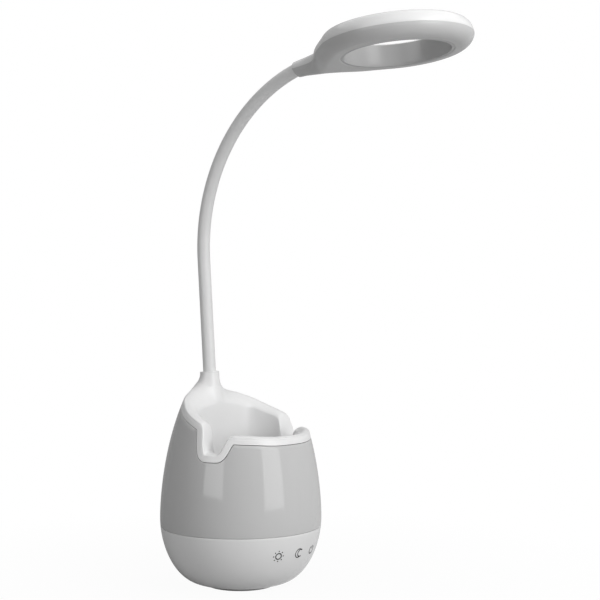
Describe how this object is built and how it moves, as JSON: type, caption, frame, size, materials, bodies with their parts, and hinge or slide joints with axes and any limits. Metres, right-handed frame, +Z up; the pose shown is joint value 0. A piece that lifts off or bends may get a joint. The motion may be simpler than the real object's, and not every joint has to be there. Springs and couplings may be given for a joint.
{
  "type": "desk lamp",
  "caption": "Desk lamp with an egg-shaped base that holds pens and a phone, a bendable gooseneck and a ring-shaped light head.",
  "frame": {"origin": "centre of the foot's flat underside, on the base's axis, at the level the lamp stands on", "axes": "+Z up along the base's axis, -Y to the front, the way the head reaches, +X across the lamp, square to its plane of symmetry"},
  "size_m": [0.1118, 0.2375, 0.3762],
  "materials": {
    "gloss_white": "glossy moulded white plastic",
    "liner_white": "smooth bright white plastic",
    "milky_grey": "glossy milky grey-white diffusing plastic",
    "sleeve_white": "satin off-white silicone",
    "lens_white": "glossy milky light cover",
    "rubber_grey": "matt light grey rubber",
    "steel": "plain zinc-plated steel",
    "board_green": "green circuit board",
    "cell_blue": "blue shrink sleeve",
    "tray_black": "black moulded plastic",
    "led_yellow": "yellow light-emitting chip"
  },
  "bodies": {
    "base": {"base_bowl": "gloss_white", "foot_pad": "rubber_grey", "base_cover": "gloss_white", "cover_screw_1": "steel", "cover_screw_2": "steel", "cover_screw_3": "steel", "cover_screw_4": "steel", "ballast_weight": "steel", "battery_cell": "cell_blue", "battery_tray": "tray_black", "main_board": "board_green", "charging_socket": "steel", "touch_pad_1": "steel", "touch_pad_2": "steel", "touch_pad_3": "steel", "touch_strip": "board_green", "mood_board": "board_green", "mood_led_1": "led_yellow", "mood_led_2": "led_yellow", "mood_led_3": "led_yellow", "mood_led_4": "led_yellow", "mood_led_5": "led_yellow", "mood_led_6": "led_yellow", "diffuser_shell": "milky_grey", "pen_cup": "liner_white", "cup_screw_1": "steel", "cup_screw_2": "steel", "cup_screw_3": "steel", "neck_ferrule": "steel", "neck_nut": "steel", "neck_sleeve_0": "sleeve_white", "neck_core_0": "steel"},
    "neck_1": {"neck_sleeve_1": "sleeve_white", "neck_core_1": "steel"},
    "neck_2": {"neck_sleeve_2": "sleeve_white", "neck_core_2": "steel"},
    "neck_3": {"neck_sleeve_3": "sleeve_white", "neck_core_3": "steel"},
    "neck_4": {"neck_sleeve_4": "sleeve_white", "neck_core_4": "steel"},
    "neck_5": {"neck_sleeve_5": "sleeve_white", "neck_core_5": "steel"},
    "neck_6": {"neck_sleeve_6": "sleeve_white", "neck_core_6": "steel"},
    "head": {"neck_sleeve_7": "sleeve_white", "neck_core_7": "steel", "head_clamp": "steel", "head_top": "gloss_white", "head_lens": "lens_white", "head_board": "board_green", "head_led_1": "led_yellow", "head_led_2": "led_yellow", "head_led_3": "led_yellow", "head_led_4": "led_yellow", "head_led_5": "led_yellow", "head_led_6": "led_yellow", "head_led_7": "led_yellow", "head_led_8": "led_yellow"}
  },
  "joints": [
    {"name": "bend_low", "type": "hinge", "parent": "base", "child": "neck_1", "pos_m": [0, 0.0312, 0.16576], "axis": [1, 0, 0], "range_deg": [-22, 20]},
    {"name": "sway_low", "type": "hinge", "parent": "neck_1", "child": "neck_2", "pos_m": [0, 0.03365, 0.20091], "axis": [0, -0.9976, 0.0698], "range_deg": [-18, 18]},
    {"name": "bend_low_upper", "type": "hinge", "parent": "neck_2", "child": "neck_3", "pos_m": [0, 0.0357, 0.23607], "axis": [1, 0, 0], "range_deg": [-22, 20]},
    {"name": "sway_low_upper", "type": "hinge", "parent": "neck_3", "child": "neck_4", "pos_m": [0, 0.03033, 0.27077], "axis": [0, -0.9566, -0.2915], "range_deg": [-18, 18]},
    {"name": "bend_high", "type": "hinge", "parent": "neck_4", "child": "neck_5", "pos_m": [0, 0.01544, 0.30257], "axis": [1, 0, 0], "range_deg": [-30, 30]},
    {"name": "sway_high", "type": "hinge", "parent": "neck_5", "child": "neck_6", "pos_m": [0, -0.00778, 0.32892], "axis": [0, -0.649, -0.7608], "range_deg": [-28, 28]},
    {"name": "bend_high_upper", "type": "hinge", "parent": "neck_6", "child": "head", "pos_m": [0, -0.03745, 0.34769], "axis": [1, 0, 0], "range_deg": [-30, 30]}
  ],
  "couplings": [
    {"joint": "bend_low_upper", "follows": "bend_low", "ratio": 1},
    {"joint": "sway_low_upper", "follows": "sway_low", "ratio": 1},
    {"joint": "bend_high_upper", "follows": "bend_high", "ratio": 1}
  ]
}
